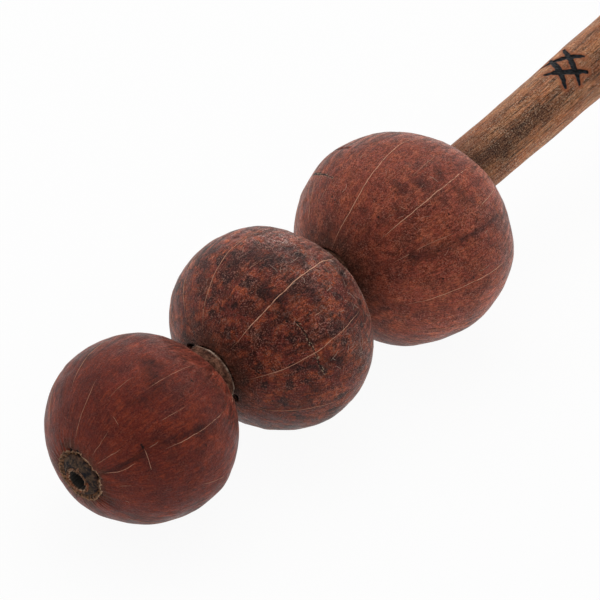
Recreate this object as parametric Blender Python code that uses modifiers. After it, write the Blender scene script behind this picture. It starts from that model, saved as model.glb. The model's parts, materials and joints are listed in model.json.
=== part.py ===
"""A hand rattle: three hollow fruit shells skewered on one wooden stick, with loose seeds in each shell.

Metres, +Z up. The rattle lies on its three shells, with the stick running along +X from its tip to the handle's
butt and rising towards the handle. The origin is under the middle of the whole rattle, on the floor.
"""

import math

import bmesh
import bpy
from mathutils import Matrix, Vector

# Driving dimensions of the shells: radii to the side and up, and half length along the stick
FRONT_SIDE_RADIUS = 0.0339
FRONT_UP_RADIUS = 0.0324
FRONT_HALF_LENGTH = 0.0324
MIDDLE_SIDE_RADIUS = 0.0385
MIDDLE_UP_RADIUS = 0.0361
MIDDLE_HALF_LENGTH = 0.0322
REAR_SIDE_RADIUS = 0.0413
REAR_UP_RADIUS = 0.0386
REAR_HALF_LENGTH = 0.0370
SHELL_WALL = 0.0032
NECK_GAP = 0.0022
TOUCH_GAP = 0.0004
FRONT_OFFSET_Y = 0.0001
MIDDLE_OFFSET_Y = -0.0009
REAR_OFFSET_Y = -0.0044
REST_FLAT_DEPTH = 0.0006

# Driving dimensions of the stick
STICK_HEIGHT = 0.0325
STICK_PITCH_DEGREES = 3.3
TIP_RADIUS = 0.0059
EXIT_RADIUS = 0.0110
BUTT_RADIUS = 0.0126
HANDLE_LENGTH = 0.160
HANDLE_BEND_DEGREES = 4.3
HANDLE_BEND_LENGTH = 0.060
BUTT_CHAMFER = 0.0012
PITH_RADIUS = 0.0035
PITH_DEPTH = 0.016

# Driving dimensions of the holes and seals
TIP_HOLE_RADIUS = 0.0094
EXIT_HOLE_RADIUS = 0.0126
NECK_SEAL_RADIUS = 0.0112
HIDDEN_SEAL_RADIUS = 0.0122
HANDLE_SEAL_RADIUS = 0.0142
TIP_SEAL_DEPTH = 0.0030

# Driving dimensions of the seeds
SEED_RADIUS = 0.0032
FRONT_SEEDS = (5, 4)
MIDDLE_SEEDS = (5, 4)
REAR_SEEDS = (6, 4)

# Clearances
FIT_GAP = 0.0003
SEED_GAP = 0.0005
CUT_MARGIN = 0.004

# Facets
SHELL_SEGMENTS = 32
SHELL_RINGS = 18
STICK_SEGMENTS = 24
SEED_SEGMENTS = 10
SEED_RINGS = 7

# Places along the stick, measured from the front shell's centre
front_place = 0.0
middle_place = front_place + FRONT_HALF_LENGTH + NECK_GAP + MIDDLE_HALF_LENGTH
rear_place = middle_place + MIDDLE_HALF_LENGTH + TOUCH_GAP + REAR_HALF_LENGTH
tip_place = front_place - FRONT_HALF_LENGTH + 0.0003
exit_place = rear_place + REAR_HALF_LENGTH
pitch = math.radians(STICK_PITCH_DEGREES)


def clear_scene():
    for obj in list(bpy.data.objects):
        bpy.data.objects.remove(obj, do_unlink=True)


def new_collection(name, hidden):
    collection = bpy.data.collections.new(name)
    bpy.context.scene.collection.children.link(collection)
    collection.hide_render = hidden
    return collection


def new_material(name, colour, roughness):
    material = bpy.data.materials.new(name)
    material.use_nodes = True
    shader = material.node_tree.nodes["Principled BSDF"]
    shader.inputs["Base Color"].default_value = (*colour, 1.0)
    shader.inputs["Roughness"].default_value = roughness
    material.diffuse_color = (*colour, 1.0)
    return material


def place(obj, parent, location=(0.0, 0.0, 0.0)):
    obj.parent = parent
    obj.location = location
    return obj


def part(name, mesh, material):
    obj = bpy.data.objects.new(name, mesh)
    mesh.materials.append(material)
    rattle_parts.objects.link(obj)
    return obj


def cutter(name, mesh):
    obj = bpy.data.objects.new(name, mesh)
    cutters.objects.link(obj)
    obj.hide_render = True
    obj.display_type = "WIRE"
    return obj


def spheroid_mesh(name, half_length, side_radius, up_radius, segments, rings):
    """Sphere squashed along X and Z, with a facet and not a ridge at its lowest place."""
    mesh = bpy.data.meshes.new(name)
    bm = bmesh.new()
    bmesh.ops.create_uvsphere(bm, u_segments=segments, v_segments=rings, radius=1.0)
    turn = Matrix.Rotation(math.pi / 2, 4, "Y") @ Matrix.Rotation(math.pi / segments, 4, "Z")
    bmesh.ops.transform(bm, matrix=Matrix.Diagonal((half_length, side_radius, up_radius, 1.0)) @ turn, verts=bm.verts)
    bm.to_mesh(mesh)
    bm.free()
    return mesh


def cone_mesh(name, start, end, start_radius, end_radius, segments):
    """Solid cone along X between two places on the stick."""
    mesh = bpy.data.meshes.new(name)
    bm = bmesh.new()
    along = Matrix.Translation(((start + end) / 2, 0.0, 0.0)) @ Matrix.Rotation(math.pi / 2, 4, "Y")
    bmesh.ops.create_cone(
        bm,
        cap_ends=True,
        segments=segments,
        radius1=start_radius,
        radius2=end_radius,
        depth=end - start,
        matrix=along,
    )
    bm.to_mesh(mesh)
    bm.free()
    return mesh


def subtract(obj, other):
    modifier = obj.modifiers.new("cut_" + other.name, "BOOLEAN")
    modifier.operation = "DIFFERENCE"
    modifier.solver = "EXACT"
    modifier.object = other


def between(place_on_stick, tip_value, exit_value):
    """Value that changes evenly from the stick's tip to where it leaves the rear shell."""
    share = (place_on_stick - tip_place) / (exit_place - tip_place)
    return tip_value + (exit_value - tip_value) * share


def tapered_cutter(name, tip_value, exit_value):
    start = tip_place - 5 * CUT_MARGIN
    end = exit_place + 5 * CUT_MARGIN
    mesh = cone_mesh(
        name,
        start,
        end,
        between(start, tip_value, exit_value),
        between(end, tip_value, exit_value),
        SHELL_SEGMENTS,
    )
    return place(cutter(name, mesh), stick_frame)


def shell_centre(up_radius, half_length, place_on_stick, offset_y):
    """Centre in the stick's frame, set so that the shell's lowest place is just under the floor."""
    reach = math.hypot(up_radius * math.cos(pitch), half_length * math.sin(pitch))
    height = reach - REST_FLAT_DEPTH
    rise = height - STICK_HEIGHT - place_on_stick * math.sin(pitch)
    return Vector((place_on_stick, offset_y, rise / math.cos(pitch)))


def make_shell(label, half_length, side_radius, up_radius, centre, material):
    """Hollow shell with the stick's holes cut through both ends and a slight flat where it lies."""
    mesh = spheroid_mesh("shell_" + label, half_length, side_radius, up_radius, SHELL_SEGMENTS, SHELL_RINGS)
    shell = place(part("shell_" + label, mesh, material), stick_frame, centre)
    hollow = shell.modifiers.new("hollow", "SOLIDIFY")
    hollow.thickness = SHELL_WALL
    hollow.offset = -1.0
    subtract(shell, hole_cutter)
    subtract(shell, floor_cutter)
    return shell


def make_clearance(label, half_length, side_radius, up_radius, centre):
    """What a seal must keep off: the shell grown by the fit gap, with its hole shrunk by it."""
    name = "clearance_" + label
    grown = (half_length + FIT_GAP, side_radius + FIT_GAP, up_radius + FIT_GAP)
    mesh = spheroid_mesh(name, *grown, SHELL_SEGMENTS, SHELL_RINGS)
    body = place(cutter(name, mesh), stick_frame, centre)
    subtract(body, plug_cutter)
    return body


def make_seal(name, start, end, start_radius, end_radius, keeps_off):
    """Ring of filler round the stick, shaped by the shells beside it and reaching into their holes."""
    mesh = cone_mesh(name, start, end, start_radius, end_radius, SHELL_SEGMENTS)
    seal = place(part(name, mesh, filler), stick_frame)
    subtract(seal, stick_clearance)
    for other in keeps_off:
        subtract(seal, other)
    return seal


def stick_stations():
    """Places, heights and radii of the stick's centre line: straight in the shells, then bent a little upwards."""
    bend = math.radians(HANDLE_BEND_DEGREES)
    bend_radius = HANDLE_BEND_LENGTH / bend
    steps = 5
    stations = [(tip_place, 0.0), (exit_place, 0.0)]
    for step in range(1, steps + 1):
        angle = bend * step / steps
        stations.append((exit_place + bend_radius * math.sin(angle), bend_radius * (1.0 - math.cos(angle))))
    last_along, last_up = stations[-1]
    straight = exit_place + HANDLE_LENGTH - last_along
    for share in (0.5, 1.0 - BUTT_CHAMFER / straight, 1.0):
        stations.append((last_along + share * straight, last_up + share * straight * math.tan(bend)))
    radii = [TIP_RADIUS]
    for along, _ in stations[1:]:
        radii.append(EXIT_RADIUS + (BUTT_RADIUS - EXIT_RADIUS) * (along - exit_place) / HANDLE_LENGTH)
    radii[-1] = BUTT_RADIUS - BUTT_CHAMFER
    return [(along, up, radius) for (along, up), radius in zip(stations, radii)]


def make_stick(material):
    """Tapered stick swept along its centre line, with a blind pith hole in its tip."""
    curve = bpy.data.curves.new("stick_line", "CURVE")
    curve.dimensions = "3D"
    curve.bevel_depth = 1.0
    curve.bevel_resolution = STICK_SEGMENTS // 2 - 2
    curve.use_fill_caps = True
    line = curve.splines.new("POLY")
    stations = stick_stations()
    line.points.add(len(stations) - 1)
    for point, (along, up, radius) in zip(line.points, stations):
        point.co = (along, 0.0, up, 1.0)
        point.radius = radius
    guide = bpy.data.objects.new("stick_line", curve)
    cutters.objects.link(guide)
    guide.hide_render = True
    graph = bpy.context.evaluated_depsgraph_get()
    mesh = bpy.data.meshes.new_from_object(guide.evaluated_get(graph))
    mesh.name = "handle_stick"
    bm = bmesh.new()
    bm.from_mesh(mesh)
    bmesh.ops.remove_doubles(bm, verts=bm.verts, dist=1e-6)
    bmesh.ops.recalc_face_normals(bm, faces=bm.faces)
    bm.to_mesh(mesh)
    bm.free()
    mesh.materials.clear()
    stick = place(part("handle_stick", mesh, material), stick_frame)
    pith_start = tip_place - CUT_MARGIN
    pith_end = tip_place + PITH_DEPTH
    pith = cutter("pith_hole", cone_mesh("pith_hole", pith_start, pith_end, PITH_RADIUS, PITH_RADIUS, 16))
    place(pith, stick_frame)
    subtract(stick, pith)
    return stick


def lane_places(half_length, up_radius, count, layer):
    """Places of the seeds of one layer, as (along, out) from the shell's centre.

    They follow the inner wall at a fixed distance from it, one seed and a gap apart, evenly about the middle.
    """
    inward = SHELL_WALL + SEED_GAP + SEED_RADIUS + layer * (2 * SEED_RADIUS + FIT_GAP)
    lane_radius = up_radius - inward
    lane_half = half_length - inward
    spacing = 2 * SEED_RADIUS + FIT_GAP
    angle = 0.0
    if count % 2 == 0:
        angle = spacing / 2 / lane_half
    places = []
    while len(places) < count:
        along = lane_half * math.sin(angle)
        out = lane_radius * math.cos(angle)
        places.append((along, out))
        if angle > 0.0:
            places.append((-along, out))
        angle += spacing / math.hypot(lane_half * math.cos(angle), lane_radius * math.sin(angle))
    return sorted(places)


def make_seeds(label, half_length, up_radius, centre, layers, material):
    """Seeds resting at the bottom of a shell, each in a lane of its own round the shell's axis."""
    axis_empty = bpy.data.objects.new("seed_axis_" + label, None)
    rattle_parts.objects.link(axis_empty)
    place(axis_empty, stick_frame, centre)
    number = 0
    for layer, count in enumerate(layers):
        for along, out in lane_places(half_length, up_radius, count, layer):
            number += 1
            name = f"seed_{label}_{number}"
            mesh = spheroid_mesh(name, SEED_RADIUS, SEED_RADIUS, SEED_RADIUS, SEED_SEGMENTS, SEED_RINGS)
            place(part(name, mesh, material), axis_empty, (along, 0.0, -out))


clear_scene()
rattle_parts = new_collection("hosho", False)
cutters = new_collection("cutters", True)

stick_frame = bpy.data.objects.new("stick_frame", None)
rattle_parts.objects.link(stick_frame)
stick_frame.rotation_euler = (0.0, -pitch, 0.0)
stick_frame.location = (0.0, 0.0, STICK_HEIGHT)

shell_brown = new_material("shell_brown", (0.22, 0.07, 0.03), 0.4)
shell_mottled = new_material("shell_mottled", (0.26, 0.11, 0.04), 0.4)
shell_russet = new_material("shell_russet", (0.24, 0.08, 0.035), 0.4)
stick_wood = new_material("stick_wood", (0.38, 0.23, 0.12), 0.55)
filler = new_material("filler", (0.05, 0.05, 0.055), 0.35)
seed_black = new_material("seed_black", (0.03, 0.025, 0.02), 0.35)

shell_sizes = {
    "front": (FRONT_HALF_LENGTH, FRONT_SIDE_RADIUS, FRONT_UP_RADIUS),
    "middle": (MIDDLE_HALF_LENGTH, MIDDLE_SIDE_RADIUS, MIDDLE_UP_RADIUS),
    "rear": (REAR_HALF_LENGTH, REAR_SIDE_RADIUS, REAR_UP_RADIUS),
}
shell_fittings = {
    "front": (front_place, FRONT_OFFSET_Y, FRONT_SEEDS, shell_brown),
    "middle": (middle_place, MIDDLE_OFFSET_Y, MIDDLE_SEEDS, shell_mottled),
    "rear": (rear_place, REAR_OFFSET_Y, REAR_SEEDS, shell_russet),
}

# Cutters that several pieces share
hole_cutter = tapered_cutter("stick_holes", TIP_HOLE_RADIUS, EXIT_HOLE_RADIUS)
plug_cutter = tapered_cutter("seal_plugs", TIP_HOLE_RADIUS - FIT_GAP, EXIT_HOLE_RADIUS - FIT_GAP)
stick_clearance = tapered_cutter("stick_clearance", TIP_RADIUS + FIT_GAP, EXIT_RADIUS + FIT_GAP)
floor_mesh = bpy.data.meshes.new("floor_block")
floor_bm = bmesh.new()
bmesh.ops.create_cube(floor_bm, size=1.0)
bmesh.ops.transform(floor_bm, matrix=Matrix.Translation((0.0, 0.0, -0.5)), verts=floor_bm.verts)
floor_bm.to_mesh(floor_mesh)
floor_bm.free()
floor_cutter = cutter("floor_block", floor_mesh)

# Shells, their clearances and their seeds
clearances = {}
for label, (half_length, side_radius, up_radius) in shell_sizes.items():
    place_on_stick, offset_y, layers, material = shell_fittings[label]
    centre = shell_centre(up_radius, half_length, place_on_stick, offset_y)
    make_shell(label, half_length, side_radius, up_radius, centre, material)
    clearances[label] = make_clearance(label, half_length, side_radius, up_radius, centre)
    make_seeds(label, half_length, up_radius, centre, layers, seed_black)

# Stick and seals
make_stick(stick_wood)
make_seal(
    "seal_tip",
    tip_place,
    tip_place + TIP_SEAL_DEPTH,
    between(tip_place, TIP_HOLE_RADIUS, EXIT_HOLE_RADIUS) - FIT_GAP,
    between(tip_place + TIP_SEAL_DEPTH, TIP_HOLE_RADIUS, EXIT_HOLE_RADIUS) - FIT_GAP,
    (),
)
make_seal(
    "seal_neck_front",
    FRONT_HALF_LENGTH - SHELL_WALL,
    middle_place - MIDDLE_HALF_LENGTH + SHELL_WALL,
    NECK_SEAL_RADIUS,
    NECK_SEAL_RADIUS,
    (clearances["front"], clearances["middle"]),
)
make_seal(
    "seal_neck_rear",
    middle_place + MIDDLE_HALF_LENGTH - SHELL_WALL,
    rear_place - REAR_HALF_LENGTH + SHELL_WALL,
    HIDDEN_SEAL_RADIUS,
    HIDDEN_SEAL_RADIUS,
    (clearances["middle"], clearances["rear"]),
)
make_seal(
    "seal_handle",
    exit_place - SHELL_WALL,
    exit_place + 0.0015,
    HANDLE_SEAL_RADIUS,
    EXIT_RADIUS + 0.0012,
    (clearances["rear"],),
)

# The whole rattle is moved so that the origin lies under its middle
bpy.context.view_layer.update()
graph = bpy.context.evaluated_depsgraph_get()
corners = []
for obj in rattle_parts.objects:
    if obj.type == "MESH":
        solid = obj.evaluated_get(graph)
        corners += [solid.matrix_world @ vertex.co for vertex in solid.data.vertices]
stick_frame.location.x = -(min(c.x for c in corners) + max(c.x for c in corners)) / 2
stick_frame.location.y = -(min(c.y for c in corners) + max(c.y for c in corners)) / 2
bpy.context.view_layer.update()
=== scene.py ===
"""Looks of a three-shell hand rattle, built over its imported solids.

Every piece is a surface in the stick's own directions: along it from tip to butt, to the side, and up.
Lengths are in metres, apart from tables in millimetres. A turn is an angle round the stick, from its side
towards up. A share on a shell is the angle from its front pole, seen from the stick beside its centre, over
half a turn.
"""

import json
import math
from functools import partial

import bpy
import numpy as np
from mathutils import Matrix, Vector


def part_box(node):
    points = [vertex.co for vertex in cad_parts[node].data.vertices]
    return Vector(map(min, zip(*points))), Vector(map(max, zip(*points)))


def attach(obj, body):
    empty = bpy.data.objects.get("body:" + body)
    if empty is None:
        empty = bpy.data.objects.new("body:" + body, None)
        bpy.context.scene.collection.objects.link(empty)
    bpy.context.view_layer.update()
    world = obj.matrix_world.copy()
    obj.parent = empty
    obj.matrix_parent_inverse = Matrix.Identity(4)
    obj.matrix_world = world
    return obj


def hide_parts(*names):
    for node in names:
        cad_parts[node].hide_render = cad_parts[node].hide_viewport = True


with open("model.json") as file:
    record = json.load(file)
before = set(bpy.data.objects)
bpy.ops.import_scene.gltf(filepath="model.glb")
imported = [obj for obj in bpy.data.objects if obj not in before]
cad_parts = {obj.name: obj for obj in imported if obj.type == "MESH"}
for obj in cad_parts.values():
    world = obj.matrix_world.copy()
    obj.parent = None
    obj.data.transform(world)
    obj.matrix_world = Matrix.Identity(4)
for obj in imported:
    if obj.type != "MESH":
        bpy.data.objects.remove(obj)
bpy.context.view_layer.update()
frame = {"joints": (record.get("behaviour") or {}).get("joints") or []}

# Sizes shared with the solids
SHELL_LABELS = ("front", "middle", "rear")
SHELL_SIDE_RADIUS = {"front": .0339, "middle": .0385, "rear": .0413}
SHELL_UP_RADIUS = {"front": .0324, "middle": .0361, "rear": .0386}
SHELL_HALF_LENGTH = {"front": .0324, "middle": .0322, "rear": .037}
SHELL_WALL = .0032
NECK_GAP = .0022
TOUCH_GAP = .0004
STICK_HEIGHT = .0325
TIP_RADIUS = .0059
EXIT_RADIUS = .011
BUTT_RADIUS = .0126
HANDLE_LENGTH = .16
HANDLE_BEND = math.radians(4.3)
HANDLE_BEND_LENGTH = .06
BUTT_CHAMFER = .0012
PITH_RADIUS = .0035
PITH_DEPTH = .016
TIP_HOLE_RADIUS = .0094
EXIT_HOLE_RADIUS = .0126
NECK_SEAL_RADIUS = .0112
HIDDEN_SEAL_RADIUS = .0122
HANDLE_SEAL_RADIUS = .0142
SEED_RADIUS = .0032
SEED_COUNT = {"front": 9, "middle": 9, "rear": 10}

# Places along the stick, from the front shell's centre
PLACE = {"front": 0}
PLACE["middle"] = SHELL_HALF_LENGTH["front"] + NECK_GAP + SHELL_HALF_LENGTH["middle"]
PLACE["rear"] = PLACE["middle"] + SHELL_HALF_LENGTH["middle"] + TOUCH_GAP + SHELL_HALF_LENGTH["rear"]
TIP_PLACE = .0003 - SHELL_HALF_LENGTH["front"]
EXIT_PLACE = PLACE["rear"] + SHELL_HALF_LENGTH["rear"]
BUTT_PLACE = EXIT_PLACE + HANDLE_LENGTH
STICK_LENGTH = BUTT_PLACE - TIP_PLACE
FULL_TURN = 2 * math.pi
MILLIMETRE = .001

# The stick's own directions, from the seeds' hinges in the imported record
joint_by_name = {joint["name"]: joint for joint in frame["joints"]}
shell_centre = {label: np.array(joint_by_name[f"seed_{label}_1_swirl"]["pos_m"]) for label in SHELL_LABELS}
along_axis = np.array(joint_by_name["seed_front_1_swirl"]["axis"])
along_axis = along_axis / np.linalg.norm(along_axis)
side_axis = np.array([0, 1, 0])
directions = np.array([along_axis, side_axis, np.cross(along_axis, side_axis)])
stick_low, stick_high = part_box("handle_stick")
stick_rise = along_axis[2] / along_axis[0]
front_x, _, front_z = shell_centre["front"]
stick_middle = (stick_low[1] + stick_high[1]) / 2
stick_origin = np.array([front_x + stick_rise * (front_z - STICK_HEIGHT), stick_middle, STICK_HEIGHT])
shell_offset = {label: (directions @ (centre - stick_origin))[1:] for label, centre in shell_centre.items()}


def to_world(local):
    """World points from points given along the stick, to its side and up from it."""
    return stick_origin + local @ directions


def to_stick(world):
    """Points along the stick, to its side and up from it, from world points."""
    return (world - stick_origin) @ directions.T


def turned(along, radius, turn):
    """Points at a distance along the stick and out from it, at each turn round it."""
    along, radius, turn = np.broadcast_arrays(along, radius, turn)
    return np.stack([along, radius * np.cos(turn), radius * np.sin(turn)], axis=-1)


def whole_turn(columns):
    """Even turns round the stick."""
    return np.arange(columns) * FULL_TURN / columns


def smooth_step(low, high, value):
    """Rises from 0 at low to 1 at high: three squares less two cubes of the share between them."""
    share = np.clip((value - low) / (high - low), 0, 1)
    return share * share * (3 - 2 * share)


def bell(offset, spread, power=2):
    """Falls from 1 at no offset: the exponential of minus a power of the offset over the spread."""
    return np.exp(-((offset / spread) ** power))


def lumps(points, size, seed, count=28):
    """Smooth unevenness of about -1 to 1: many sines of about one size, in random directions, added up."""
    random = np.random.default_rng(seed)
    ways = random.normal(size=(count, 3))
    ways = ways / np.linalg.norm(ways, axis=1, keepdims=True)
    lengths = size * random.uniform(.7, 1.5, count)
    starts = random.uniform(0, FULL_TURN, count)
    waves = points @ (ways * (FULL_TURN / lengths)[:, None]).T + starts
    return np.sin(waves).sum(axis=-1) / math.sqrt(count)


def ripple(turn, low_count, high_count, seed):
    """Closed ripple of about -1 to 1 round a ring: sines of whole counts with random sizes and starts."""
    random = np.random.default_rng(seed)
    counts = np.arange(low_count, high_count + 1)
    sizes = random.uniform(.4, 1, len(counts))
    starts = random.uniform(0, FULL_TURN, len(counts))
    waves = np.sin(np.asarray(turn)[..., None] * counts + starts) * sizes
    return waves.sum(axis=-1) / np.sqrt((sizes**2).sum())


def between_ends(place, tip_value, exit_value):
    """Value that changes evenly from the stick's tip to where it leaves the rear shell."""
    return tip_value + (exit_value - tip_value) * (place - TIP_PLACE) / (EXIT_PLACE - TIP_PLACE)


def stretches(numbers):
    """Start and end of each stretch of a line whose places, in pairs of numbers, follow one another."""
    places = np.reshape(numbers, (-1, 2)).tolist()
    return list(zip(places[:-1], places[1:]))


def share_of_run(to_x, to_y, run_x, run_y):
    """How far along a straight run its nearest place to a point is, from 0 to 1."""
    return np.clip((to_x * run_x + to_y * run_y) / (run_x**2 + run_y**2 + 1e-12), 0, 1)


def sheet_grid(points, shares=None, loop=False, capped=False, **marks):
    """Grid of points whose columns close round on themselves, with what a mesh needs to know of it.

    shares is each point's second map coordinate; the first is its share of a full turn. A loop joins the
    last row to the first. Caps close both end rows with fans. marks are named values of the points.
    """
    shape = points.shape[:2]
    if shares is None:
        shares = np.linspace(0, 1, shape[0])[:, None]
    values = {key: np.broadcast_to(value, shape) for key, value in marks.items()}
    shares = np.broadcast_to(shares, shape)
    return {"points": points, "shares": shares, "loop": loop, "capped": capped, "marks": values}


def grid_faces(grid, base):
    """Four-cornered faces of a grid, then the fans of its caps, and all corners' places on its map."""
    rows, columns = grid["points"].shape[:2]
    row = np.arange(rows if grid["loop"] else rows - 1)[:, None]
    ring = np.arange(columns)
    steps = ((row, ring), (row, ring + 1), (row + 1, ring + 1), (row + 1, ring))
    corners = [np.broadcast_arrays(r, c) for r, c in steps]
    quads = np.stack([base + r % rows * columns + c % columns for r, c in corners], axis=-1)
    across = np.stack([c / columns for _, c in corners], axis=-1)
    down = np.stack([grid["shares"][r % rows, c % columns] for r, c in corners], axis=-1)
    faces = quads.reshape(-1, 4).tolist()
    places = [np.stack([across, down], axis=-1).reshape(-1, 2)]
    following = (ring + 1) % columns
    caps = ((0, following, ring), (rows - 1, ring, following)) if grid["capped"] else ()
    for number, (end, first, second) in enumerate(caps):
        start = base + end * columns
        middle = np.full(columns, base + rows * columns + number)
        faces += np.stack([start + first, start + second, middle], axis=-1).tolist()
        level = np.full(3 * columns, grid["shares"][end].mean())
        places.append(np.stack([np.repeat(ring / columns, 3), level], axis=-1))
    return faces, np.vstack(places)


def make_piece(name, grids, material, body, slot, *nodes):
    """Object made of grids that rides on a body, with its map, its marks and the nodes it replaces."""
    layers = {key: [] for key in ("points", *grids[0]["marks"])}
    faces, places = [], []
    for grid in grids:
        new_faces, new_places = grid_faces(grid, sum(map(len, layers["points"])))
        faces += new_faces
        places.append(new_places)
        for key, values in {"points": grid["points"], **grid["marks"]}.items():
            layers[key].append(values.reshape(-1, *values.shape[2:]))
            if grid["capped"]:
                layers[key] += [values[end].mean(axis=0, keepdims=True) for end in (0, -1)]
    mesh = bpy.data.meshes.new(name)
    mesh.from_pydata(np.vstack(layers.pop("points")).tolist(), [], faces)
    layer = mesh.uv_layers.new(name="surface_map")
    layer.data.foreach_set("uv", np.vstack(places).astype(np.float32).ravel())
    for key, values in layers.items():
        attribute = mesh.attributes.new(key, "FLOAT", "POINT")
        attribute.data.foreach_set("value", np.concatenate(values).astype(np.float32))
    mesh.polygons.foreach_set("use_smooth", np.ones(len(mesh.polygons), dtype=bool))
    mesh.materials.append(material)
    mesh.update()
    piece = bpy.data.objects.new(name, mesh)
    bpy.context.scene.collection.objects.link(piece)
    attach(piece, body)
    if nodes:
        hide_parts(*nodes)


# Shader node helpers: a new node goes into the tree that its linked values belong to
def connect(socket, value):
    """Puts a link or a plain value on an input."""
    if isinstance(value, bpy.types.NodeSocket):
        socket.id_data.links.new(value, socket)
    else:
        socket.default_value = value


def add_node(kind, inputs=(), tree=None, **settings):
    """Node of one kind, with its settings, and values or links on its inputs."""
    inputs = dict(inputs)
    if tree is None:
        tree = next(value.id_data for value in inputs.values() if isinstance(value, bpy.types.NodeSocket))
    node = tree.nodes.new(kind)
    for key, value in settings.items():
        setattr(node, key, value)
    for socket, value in inputs.items():
        connect(node.inputs[socket], value)
    return node


def maths(operation, first, second=0, clamp=False):
    """Result of one arithmetic node."""
    inputs = {0: first, 1: second}
    return add_node("ShaderNodeMath", inputs, operation=operation, use_clamp=clamp).outputs[0]


times = partial(maths, "MULTIPLY")
plus = partial(maths, "ADD")
minus = partial(maths, "SUBTRACT")
largest = partial(maths, "MAXIMUM")


def vectors(operation, first, second):
    """Result of one vector arithmetic node."""
    outputs = add_node("ShaderNodeVectorMath", {0: first, 1: second}, operation=operation).outputs
    return outputs["Value" if operation in ("DOT_PRODUCT", "DISTANCE") else "Vector"]


def split(vector):
    """Three parts of a vector."""
    return add_node("ShaderNodeSeparateXYZ", {0: vector}).outputs


def ramp(value, low, high, start=0, end=1):
    """Smooth change from start to end as value goes from low to high."""
    inputs = {"Value": value, "From Min": low, "From Max": high, "To Min": start, "To Max": end}
    return add_node("ShaderNodeMapRange", inputs, interpolation_type="SMOOTHSTEP").outputs["Result"]


def mix_colours(share, first, second, blend="MIX"):
    """Colour that goes from the first to the second with the share."""
    inputs = {0: share, 6: first, 7: second}
    return add_node("ShaderNodeMix", inputs, data_type="RGBA", blend_type=blend).outputs[2]


def shade_colour(tint, shade):
    """Colour made darker or lighter by one value."""
    grey = add_node("ShaderNodeCombineColor", {0: shade, 1: shade, 2: shade}).outputs[0]
    return mix_colours(1, tint, grey, "MULTIPLY")


def noise(vector, scale, detail=3, roughness=.55, distortion=0, output="Fac"):
    """Value or colour of a noise texture."""
    titles = ("Vector", "Scale", "Detail", "Roughness", "Distortion")
    inputs = zip(titles, (vector, scale, detail, roughness, distortion))
    return add_node("ShaderNodeTexNoise", inputs).outputs[output]


def cells(vector, scale):
    """Distance to the middle of a Voronoi texture's nearest cell, and that cell's own random value."""
    outputs = add_node("ShaderNodeTexVoronoi", {"Vector": vector, "Scale": scale}).outputs
    return outputs["Distance"], add_node("ShaderNodeSeparateColor", {0: outputs["Color"]}).outputs[0]


def mark(material, name):
    """Value that the mesh carries under a name."""
    return add_node("ShaderNodeAttribute", tree=material.node_tree, attribute_name=name).outputs["Fac"]


def fill_group(group, inputs):
    """Outputs of a node group with values or links on its named inputs."""
    return add_node("ShaderNodeGroup", inputs, node_tree=group).outputs


def new_group(name, inputs, outputs):
    """Empty node group with named sockets of each kind, its given values and its results."""
    tree = bpy.data.node_groups.new(name, "ShaderNodeTree")
    for way, sockets in (("INPUT", inputs), ("OUTPUT", outputs)):
        for kind, titles in sockets.items():
            for title in titles:
                tree.interface.new_socket(title, in_out=way, socket_type="NodeSocket" + kind)
    return tree, tree.nodes.new("NodeGroupInput").outputs, tree.nodes.new("NodeGroupOutput").inputs


def new_material(name, specular, **plain):
    """Material with plain values on its shader, its Object coordinates and the piece's own map."""
    material = bpy.data.materials.new(name)
    material.use_nodes = True
    tree = material.node_tree
    for title, value in {"Specular IOR Level": specular, **plain}.items():
        tree.nodes["Principled BSDF"].inputs[title].default_value = value
    place = add_node("ShaderNodeTexCoord", tree=tree).outputs["Object"]
    own_map = add_node("ShaderNodeUVMap", tree=tree, uv_map="surface_map").outputs["UV"]
    return material, place, own_map


def finish_material(material, tint, roughness, height, distance, strength):
    """Joins colour, roughness and a bump height to the material's shader."""
    bump = add_node("ShaderNodeBump", {"Height": height, "Distance": distance, "Strength": strength})
    shader = material.node_tree.nodes["Principled BSDF"]
    connect(shader.inputs["Base Color"], tint)
    connect(shader.inputs["Roughness"], roughness)
    connect(shader.inputs["Normal"], bump.outputs["Normal"])
    return material


def screen(red, green, blue):
    """Linear colour from the 0 to 255 values that a screen shows."""
    shown = np.array([red, green, blue]) / 255
    linear = np.where(shown <= .04045, shown / 12.92, ((shown + .055) / 1.055) ** 2.4)
    return (*linear.tolist(), 1)


def make_fibre_group():
    """Fine fibres along the stick on any turned piece.

    The map's turn becomes a place on a circle, so that noise stretched along the stick has no seam.
    """
    tree, given, result = new_group(
        "lengthwise_fibres",
        {"Vector": ("Map",), "Float": ("Across", "Along", "Detail", "Waver")},
        {"Float": ("Fibre",)},
    )
    parts = split(given["Map"])
    angle = times(parts["X"], FULL_TURN)
    across = times(maths("COSINE", angle), given["Across"])
    over = times(maths("SINE", angle), given["Across"])
    lengthwise = times(parts["Y"], given["Along"])
    place = add_node("ShaderNodeCombineXYZ", {0: across, 1: over, 2: lengthwise}).outputs[0]
    connect(result["Fibre"], noise(place, 1, given["Detail"], .6, given["Waver"]))
    return tree


def fibres(own_map, across, along, detail, waver):
    """Fibre value of a turned piece, with how many fibres lie across it and along it."""
    values = {"Map": own_map, "Across": across, "Along": along, "Detail": detail, "Waver": waver}
    return fill_group(fibre_group, values)["Fibre"]


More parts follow.
